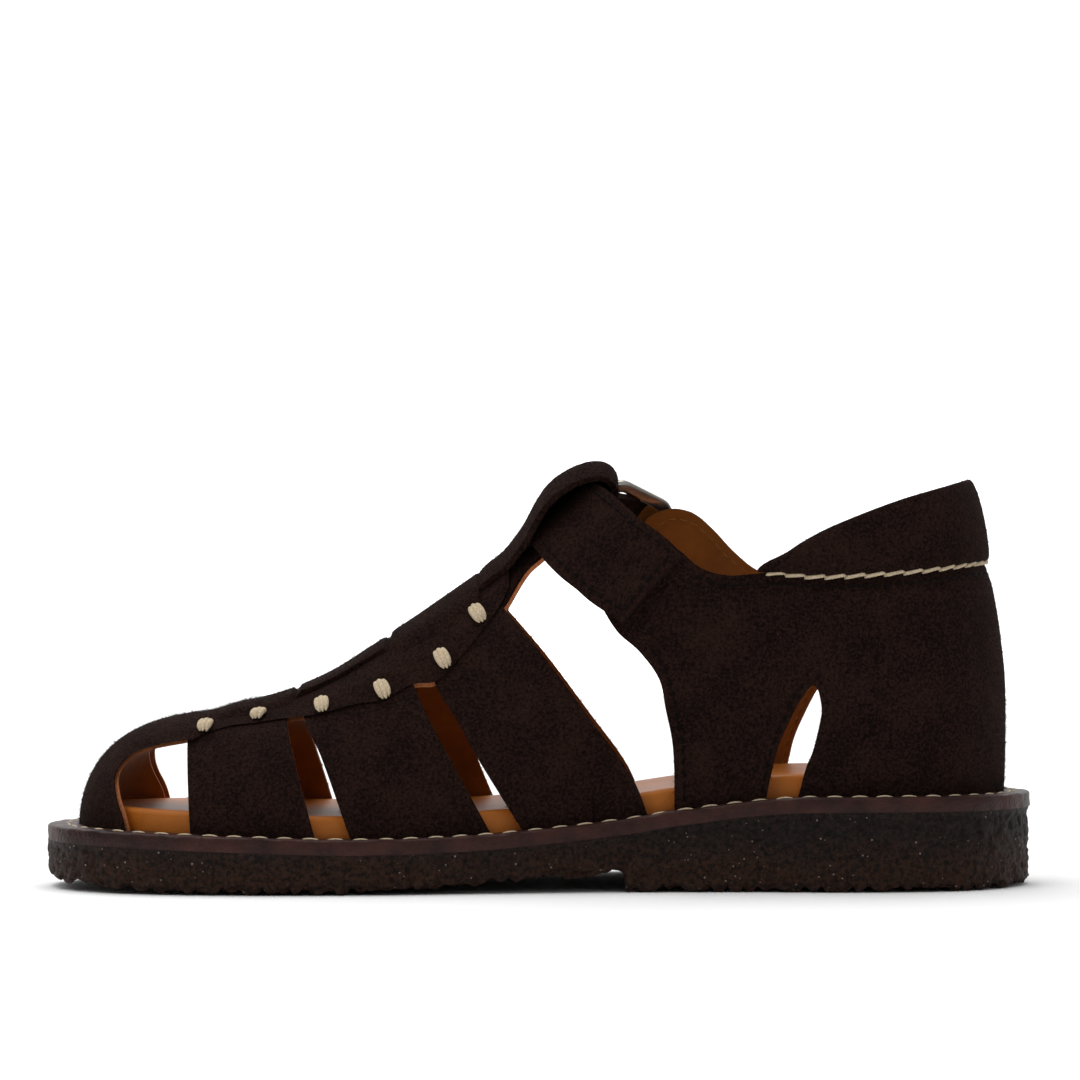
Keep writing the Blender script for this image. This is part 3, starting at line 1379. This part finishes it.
class SANDAL_OT_ankle_strap(bpy.types.Operator):
    """Models the ankle strap, its tab and the keeper for its tip"""

    bl_idname = "sandal.ankle_strap"
    bl_label = "Ankle strap"

    def execute(self, context):
        made = prepare(context)
        last, sizes = made["last"], made["sizes"]
        suede = 1.9 * MM

        def strap(s, w):
            edge = abs(2 * w - 1) ** 8
            height = strap_bed(sizes, s) + sizes.strap - 0.3 * MM * edge
            point = strap_point(last, s, w, height)
            return strap_point(last, s, w, height + creases(point, 0.15 * MM, 12 * MM))

        outer = wrap_grid("ankle_strap_suede", 170, 26, strap, made["suede_all"])
        thicken(outer, last, suede, "ankle_strap")

        def inner(s, w):
            s = mix(0.02, 0.985, s)
            w = mix(0.07, 0.93 + 0.05 * smoothstep(s, 0.45, 0.55), w)
            return strap_point(last, s, w, strap_bed(sizes, s) + sizes.strap - suede - 0.02 * MM)

        lining = wrap_grid("ankle_strap_lining", 170, 12, inner, made["lined"])
        thicken(lining, last, 0.45 * MM, material_offset=1, material_offset_rim=2)
        for name, ends, low, high, top, node in strips(sizes):
            piece = wrap_grid(name, 16, 16, strip_place(last, ends, low, high, top),
                              made["suede_all"])
            thicken(piece, last, 1.2 * MM, node)
        return {"FINISHED"}


def strips(sizes):
    """The small leather parts on the strap's course: name, ends, edges, top face and node."""
    flat = sizes.wall + 0.3 * MM
    over = 0.35 * MM + 1.2 * MM

    def tab_top(s):
        return flat + 1.25 * MM

    def keeper_top(s):
        return strap_bed(sizes, s) + sizes.strap + over

    return [
        ("buckle_tab_suede", TAB, 0.15, 0.85, tab_top, "buckle_tab"),
        ("keeper_suede", KEEPER, -0.06, 1.06, keeper_top, "strap_keeper"),
    ]


def strip_place(last, ends, low, high, top):
    """Gives the place function for a strip on the strap's course."""

    def place(u, v):
        s = mix(ends[0], ends[1], u)
        return strap_point(last, s, mix(low, high, v), top(s))

    return place


class SANDAL_OT_collar(bpy.types.Operator):
    """Models the padded collar folded over the heel"""

    bl_idname = "sandal.collar"
    bl_label = "Heel collar"

    def execute(self, context):
        made = prepare(context)
        last = made["last"]
        ribs = collar_course(last)
        around = 40

        def place(u, v):
            rib = nearest(ribs, u)
            angle = 2 * math.pi * round(v * around) / around - math.pi / 2
            swell, rise = math.cos(angle), math.sin(angle)
            h = 0.5 + 0.5 * math.copysign(abs(rise) ** 0.75, rise)
            half = 1.55 * MM
            off = half + 0.15 * MM + half * math.copysign(abs(swell) ** 0.75, swell)
            edge = last.point(rib, 0.5, off)
            for _ in range(3):
                at = last.share(edge.x)
                if edge.y < 0:
                    at += COLLAR_LEAD * (1 - smoothstep(at, 0.715, 0.75))
                else:
                    at -= 0.06 * (at - 0.5) * smoothstep(edge.y, 0.0, 0.25 * last.ball)
                low = last.up_of(read(SEAM, "up", at)) + 0.15 * MM
                high = max(low + 0.4 * MM, last.up_of(read(COLLAR_TOP, "up", at)))
                edge = last.at_height(rib, mix(low, high, h), off)
            return edge

        piece = wrap_grid("heel_collar_padded", len(ribs) - 1, around, place, [made["suede"]])
        close_piece(piece, "suede", "heel_collar")
        return {"FINISHED"}


def collar_course(last):
    """Ribs from the medial front end of the collar, round the heel, to the lateral one."""
    spine, fan = 44, 60
    lead = COLLAR_FRONT - COLLAR_LEAD
    ribs = [last.rib(mix(lead, HEEL_CENTRE, i / spine), -math.pi / 2) for i in range(spine)]
    ribs += [last.rib(HEEL_CENTRE, -math.pi / 2 + math.pi * i / fan) for i in range(fan)]
    ribs += [last.rib(mix(HEEL_CENTRE, COLLAR_FRONT, i / spine), math.pi / 2)
             for i in range(spine + 1)]
    return ribs


class SANDAL_OT_buckle(bpy.types.Operator):
    """Models the steel buckle and its prong"""

    bl_idname = "sandal.buckle"
    bl_label = "Buckle"

    def execute(self, context):
        made = prepare(context)
        basis = buckle_basis(made["last"], made["sizes"])
        frame_piece = buckle_frame(basis, made["steel"])
        finish_piece(frame_piece, "steel", "buckle_frame")
        bar, thick = 8.5 - 1.3, 2.0
        top = thick + 0.3 + 1.1
        path = [Vector((0, -bar, top)), Vector((0, -bar * 0.4, top + 0.4)),
                Vector((0, bar * 0.3, top + 1.2)), Vector((0, bar + 1.3, top))]
        points = [basis @ (p * MM) for p in evenly(spline(path, False, 10), False, 24)]
        prong = thread_piece("buckle_prong_steel", [points], 1.05 * MM, made["steel"], 16)
        finish_piece(prong, "steel", "buckle_prong")
        return {"FINISHED"}


def buckle_basis(last, sizes):
    """The buckle's axes: across the strap, along it and off the foot."""
    rise, drop, thick, gap = 1.3 * MM, 1.1 * MM, 2.0 * MM, 0.3 * MM
    far = strap_point(last, FAR_BAR, 0.5, strap_bed(sizes, FAR_BAR) + sizes.strap + gap + rise)
    hinge = strap_point(last, HINGE_BAR, 0.5, strap_bed(sizes, HINGE_BAR) - thick - gap - drop)
    middle = (FAR_BAR + HINGE_BAR) / 2
    across = strap_point(last, middle, 1, sizes.wall) - strap_point(last, middle, 0, sizes.wall)
    across.normalize()
    along = far - hinge
    along -= across * along.dot(across)
    along.normalize()
    off = along.cross(across)
    centre = (far + hinge) / 2
    columns = Matrix((across, along, off)).transposed().to_4x4()
    return Matrix.Translation(centre) @ columns


def buckle_frame(basis, material):
    """A flat rectangle with round corners, hollowed and softened at its edges."""
    deselect()
    bpy.ops.mesh.primitive_plane_add(size=1)
    piece = bpy.context.object
    piece.name = "buckle_frame_steel"
    width, length, bar, thick = 25 * MM, 17 * MM, 2.6 * MM, 2.0 * MM
    for vertex in piece.data.vertices:
        vertex.co = Vector((vertex.co.x * width, vertex.co.y * length, 0))
    bpy.ops.object.mode_set(mode="EDIT")
    bpy.ops.mesh.select_all(action="SELECT")
    bpy.ops.mesh.bevel(offset=4 * MM, segments=6, affect="VERTICES")
    bpy.ops.mesh.select_all(action="SELECT")
    bpy.ops.mesh.inset(thickness=bar, depth=0)
    bpy.ops.mesh.delete(type="ONLY_FACE")
    deselect()
    apply(piece, "SOLIDIFY", thickness=thick, offset=1)
    apply(piece, "BEVEL", width=0.75 * MM, segments=4, limit_method="ANGLE")
    weld(piece)
    piece.data.transform(basis)
    piece.data.materials.append(material)
    settle(piece, CRISP)
    return piece


class SANDAL_OT_stitching(bpy.types.Operator):
    """Adds the hand stitches, the cord at the collar, the welt stitches and the fine seams"""

    bl_idname = "sandal.stitching"
    bl_label = "Stitching"

    def execute(self, context):
        made = prepare(context)
        last, sizes = made["last"], made["sizes"]
        finish_piece(hand_stitches(last, sizes, made), "suede")
        finish_piece(collar_cord(last, sizes, made), "suede")
        finish_piece(welt_stitches(last, sizes, made), "welt_leather")
        finish_piece(fine_seams(last, sizes, made), "suede")
        finish_piece(lining_seams(last, sizes, made), "footbed_leather")
        return {"FINISHED"}


def hand_stitches(last, sizes, made):
    """Six heavy stitches on each side, each of three threads laid side by side."""
    runs = []
    for at, up, tilt in HAND_STITCHES:
        for side in (-1, 1):
            centre = last.seen_at(at, up, side, sizes.wall + sizes.band_step)
            ahead = last.seen_at(at + 0.005, up, side, sizes.wall + sizes.band_step)
            above = last.seen_at(at, up + 0.02, side, sizes.wall + sizes.band_step)
            along, rise = (ahead - centre).normalized(), (above - centre).normalized()
            out = along.cross(rise).normalized() * (1 if side < 0 else -1)
            angle = math.radians(tilt)
            lie = along * math.sin(angle) * -1 + rise * math.cos(angle)
            beside = out.cross(lie).normalized()
            for k in (-1, 0, 1):
                middle = centre + beside * (k * 0.92 * MM)
                run = []
                for i in range(9):
                    u = i / 4 - 1
                    arch = 0.85 * MM * (1 - abs(u) ** 4) - 0.45 * MM - 0.12 * MM * abs(k)
                    bow = beside * (k * -0.3 * MM * u * u)
                    half = (2.45 - 0.3 * abs(k)) * MM
                    run.append(middle + lie * (u * half) + bow + out * arch)
                runs.append(run)
    return thread_piece("hand_stitches_thread", runs, 0.62 * MM, made["thread"], 10)


def collar_cord(last, sizes, made):
    """Long stitches of twisted cord along the collar's seam, each rising over the next."""
    ribs = collar_course(last)
    spine = []
    for rib in ribs[3:]:
        near_heel = abs(rib[1].x) if rib[0].x > last.x_of(HEEL_CENTRE) - 0.1 * MM else 0.0
        off = sizes.wall + 0.3 * MM - 0.45 * MM * near_heel
        edge = last.point(rib, 0.5, off)
        for _ in range(3):
            z = last.up_of(read(SEAM, "up", last.share(edge.x)))
            edge = last.at_height(rib, z, off)
        spine.append((edge, Vector((rib[1].x, rib[1].y, 0)).normalized()))
    path = evenly([p for p, out in spine], False, 1201)
    length = sum((b - a).length for a, b in zip(path, path[1:]))
    count = round(length / (4.05 * MM))
    each = (len(path) - 1) // count
    twist, turns = 0.2 * MM, 3.6
    runs = []
    for i in range(count):
        for strand in (0, math.pi):
            run = []
            for k in range(29):
                u = k / 28
                place = min(len(path) - 1, round((i - 0.08 + 1.16 * u) * each))
                point = path[max(0, place)]
                near = round(max(0, place) / (len(path) - 1) * (len(spine) - 1))
                out = spine[near][1]
                side = -1 if point.y < 0 else 1
                slant = 0.34 * MM * (2 * u - 1) * (1 if side < 0 else -1)
                dip = -0.75 * MM * (1 - min(1.0, 5 * u, 5 * (1 - u)))
                angle = 2 * math.pi * turns * u + strand
                run.append(point + out * (dip + twist * math.cos(angle))
                           + Vector((0, 0, slant + twist * math.sin(angle))))
            runs.append(run)
    return thread_piece("collar_cord_twisted", runs, 0.23 * MM, made["thread"], 6)


def welt_stitches(last, sizes, made):
    """Stitches on the welt, close to the foot of the upper."""
    ring = inset_by(last.outline, lambda x: last.inset(x) * 0.42)
    count = round(sum((b - a).length for a, b in zip(ring, ring[1:] + ring[:1]))
                  / sizes.welt_pitch)
    fine = evenly(ring, True, count * 8)
    runs = []
    for i in range(count):
        run = []
        for k in range(7):
            p = fine[(i * 8 + k) % len(fine)]
            u = k / 6
            height = sizes.welt + 0.3 * MM * math.sin(math.pi * u) - 0.18 * MM
            run.append(Vector((p.x, p.y, last.seat(p.x) + height)))
        runs.append(run)
    return thread_piece("welt_stitches_thread", runs, 0.24 * MM, made["thread"], 6)


# Machine seams seen from the side, as station and height: side of the foot, then the points.
SUEDE_SEAMS = [
    (-1, [(0.644, 0.03), (0.642, 0.19), (0.635, 0.3), (0.628, 0.385), (0.609, 0.47)]),
    (-1, [(0.655, 0.672), (0.675, 0.65), (0.7, 0.645), (0.7315, 0.648), (0.8, 0.64),
          (0.875, 0.652), (0.955, 0.678)]),
    (1, [(0.659, 0.0), (0.657, 0.16), (0.649, 0.29), (0.63, 0.416), (0.608, 0.53), (0.6, 0.62)]),
    (1, [(0.6, 0.7), (0.61, 0.77), (0.622, 0.815), (0.64, 0.838), (0.658, 0.826), (0.676, 0.785),
         (0.7, 0.715), (0.73, 0.655), (0.8, 0.64), (0.875, 0.652), (0.955, 0.678)]),
    (-1, [(0.7185, 0.02), (0.7255, 0.12), (0.731, 0.18), (0.741, 0.25), (0.753, 0.325),
          (0.765, 0.375)]),
    (1, [(0.7485, 0.02), (0.7555, 0.12), (0.761, 0.18), (0.771, 0.25), (0.783, 0.325),
         (0.795, 0.375)]),
]


def seen_path(last, rows, side, offset):
    """A smooth path on the last from stations and heights seen from the side."""
    flat = spline([Vector((at, up)) for at, up in rows], False, 5)
    return [last.seen_at(p.x, p.y, side, offset) for p in flat]


def fine_seams(last, sizes, made):
    """Machine seams along the edges of the strap and the quarters."""
    runs = []
    inset = 0.1
    rise, sink = 0.2 * MM, 0.1 * MM

    def normal_of(point):
        return (point - foot_core(last, point.x, 15 * MM)).normalized()

    def strap_line(points):
        path = [strap_point(last, s, w, strap_bed(sizes, s) + sizes.strap) for s, w in points]
        return seam_runs(path, sizes.fine_pitch, 0.7, normal_of, rise, sink)

    steps = 60
    for w in (inset, 1 - inset):
        runs += strap_line([(mix(0.02, 0.99, i / steps), w) for i in range(steps + 1)])
    runs += strap_line([(0.015, mix(inset, 1 - inset, i / 12)) for i in range(13)])
    for side, rows in SUEDE_SEAMS:
        path = seen_path(last, rows, side, sizes.wall)
        runs += seam_runs(path, sizes.fine_pitch, 0.7, normal_of, rise, sink)
    return thread_piece("fine_seams_thread", runs, 0.25 * MM, made["dark_thread"], 5)


def lining_seams(last, sizes, made):
    """The same seams on the tan lining, where they come through."""
    runs = []

    def inwards(point):
        return (foot_core(last, point.x, 15 * MM) - point).normalized()

    for side, rows in SUEDE_SEAMS:
        ahead = [row for row in rows if row[0] < 0.74 or row[1] < 0.4]
        path = seen_path(last, ahead, side, 0.0)
        runs += seam_runs(path, sizes.fine_pitch, 0.75, inwards, 0.2 * MM, 0.08 * MM)
    return thread_piece("lining_seams_thread", runs, 0.16 * MM, made["tan_thread"], 5)


class SANDAL_OT_nap(bpy.types.Operator):
    """Raises loose fibres from the suede, which soften its outline"""

    bl_idname = "sandal.nap"
    bl_label = "Nap fibres"

    def execute(self, context):
        made = prepare(context)
        last = made["last"]
        chance = random.Random(11)
        for name in ("straps_suede", "toe_piece_band", "tail_over_band", "tail_loop",
                     "ankle_strap_suede", "heel_collar_padded"):
            verts = []
            leather = bpy.data.objects[name].data
            for face in leather.polygons:
                middle = foot_core(last, within_foot(last, face.center.x), 10 * MM)
                if face.normal.dot(face.center - middle) < 0 and name != "tail_loop":
                    continue
                expected = face.area * 1e6 * NAP_DENSITY
                for _ in range(int(expected + chance.random())):
                    verts += fibre(leather, face, chance)
            faces = []
            for i in range(0, len(verts), 4):
                faces += [(i, i + 2, i + 1), (i, i + 1, i + 3), (i + 1, i + 2, i + 3),
                          (i + 2, i, i + 3)]
            finish_piece(mesh_piece(name + "_nap", verts, faces, made["suede"]), "suede")
        return {"FINISHED"}


def fibre(mesh, face, chance):
    """The four points of one fibre: a closed sliver that leans away from the leather."""
    corners = [mesh.vertices[i].co for i in face.vertices]
    a = corners[0].lerp(corners[1], chance.random())
    b = corners[-1].lerp(corners[-2], chance.random())
    root = a.lerp(b, chance.random()) - face.normal * 0.05 * MM
    lean = Vector((chance.gauss(0, 1), chance.gauss(0, 1), chance.gauss(-0.3, 1)))
    lean -= face.normal * lean.dot(face.normal)
    length = (0.4 + 0.9 * chance.random() ** 3) * MM
    along = (face.normal * 0.6 + lean * 0.4) * length
    side = along.orthogonal().normalized() * 0.06 * MM
    third = along.cross(side).normalized() * 0.06 * MM
    return [root + side, root - side * 0.5 + third, root - side * 0.5 - third, root + along]


class SANDAL_PT_panel(bpy.types.Panel):
    """Lists the sandal's pieces in the sidebar"""

    bl_idname = "SANDAL_PT_panel"
    bl_label = "Fisherman sandal"
    bl_space_type = "VIEW_3D"
    bl_region_type = "UI"
    bl_category = "Sandal"

    def draw(self, context):
        for operator in OPERATORS:
            self.layout.operator(operator.bl_idname)


OPERATORS = (
    SANDAL_OT_stage, SANDAL_OT_outsole, SANDAL_OT_welt, SANDAL_OT_footbed,
    SANDAL_OT_side_straps, SANDAL_OT_toe_band, SANDAL_OT_tail, SANDAL_OT_ankle_strap,
    SANDAL_OT_collar, SANDAL_OT_buckle, SANDAL_OT_stitching, SANDAL_OT_nap,
)
CLASSES = (SandalSizes, SandalColours, *OPERATORS, SANDAL_PT_panel)


def register():
    """Registers the classes and hangs the settings on the scene."""
    for each in CLASSES:
        bpy.utils.register_class(each)
    bpy.types.Scene.sandal_sizes = PointerProperty(type=SandalSizes)
    bpy.types.Scene.sandal_colours = PointerProperty(type=SandalColours)


def unregister():
    """Takes the settings and the classes away again."""
    del bpy.types.Scene.sandal_colours
    del bpy.types.Scene.sandal_sizes
    for each in reversed(CLASSES):
        bpy.utils.unregister_class(each)


def main():
    """Builds the sandal."""
    register()
    for operator in OPERATORS:
        group, name = operator.bl_idname.split(".")
        getattr(getattr(bpy.ops, group), name)()


if __name__ == "__main__":
    main()
